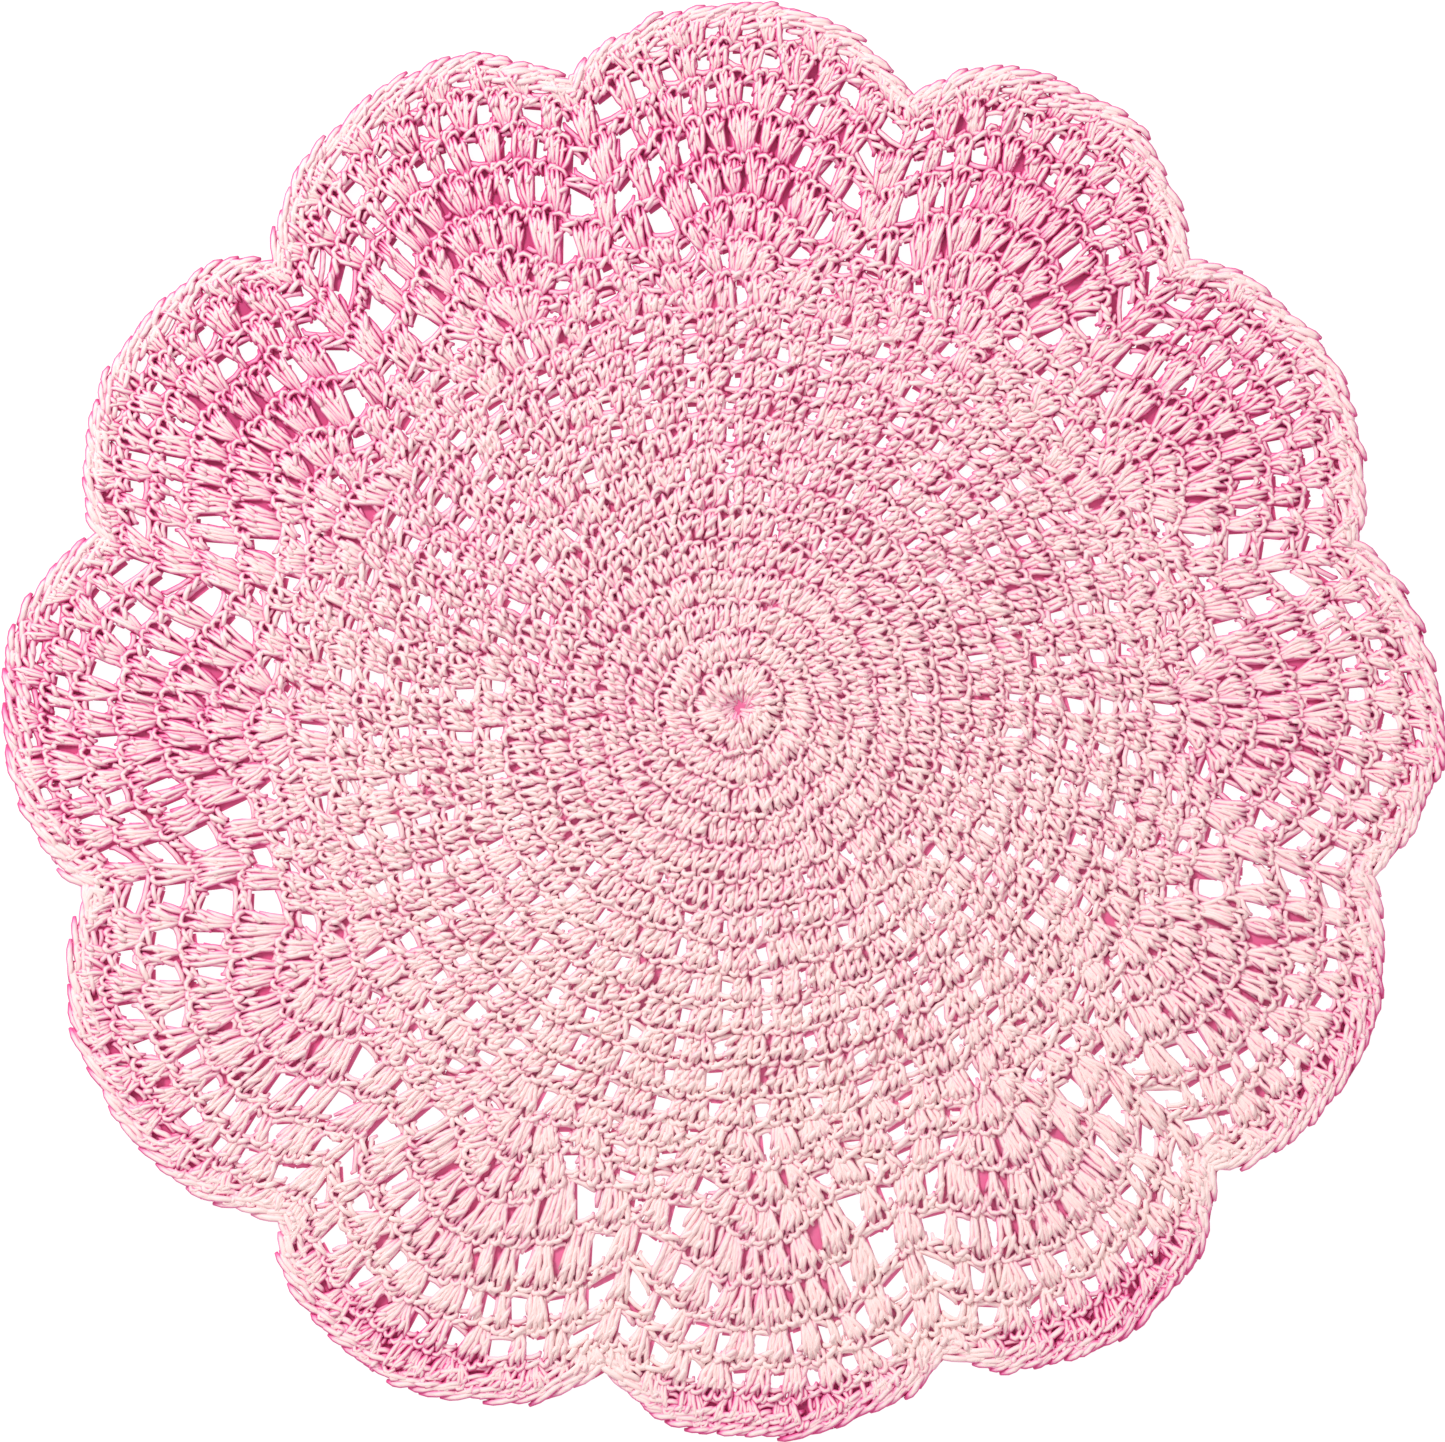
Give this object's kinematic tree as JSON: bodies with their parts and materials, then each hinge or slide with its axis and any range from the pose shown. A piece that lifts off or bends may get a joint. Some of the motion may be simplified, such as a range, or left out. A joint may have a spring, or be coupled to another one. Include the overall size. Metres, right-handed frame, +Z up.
{
  "type": "crocheted doily",
  "caption": "Round crocheted table doily with a scalloped rim of fan petals, an openwork mesh centre and pierced gaps; lies flat under a vase, bowl or lamp.",
  "frame": {"origin": "on the surface that the doily lies on, under the middle of its first round", "axes": "+Z up out of the doily's face, +Y towards the top of the doily as it lies, +X to its right"},
  "size_m": [0.3002, 0.2991, 0.0022],
  "materials": {
    "yarn": "matt twisted cotton yarn, dusty pink with creamy highlights and deep rose between the stitches"
  },
  "bodies": {
    "root": {"doily": "yarn"}
  },
  "joints": []
}
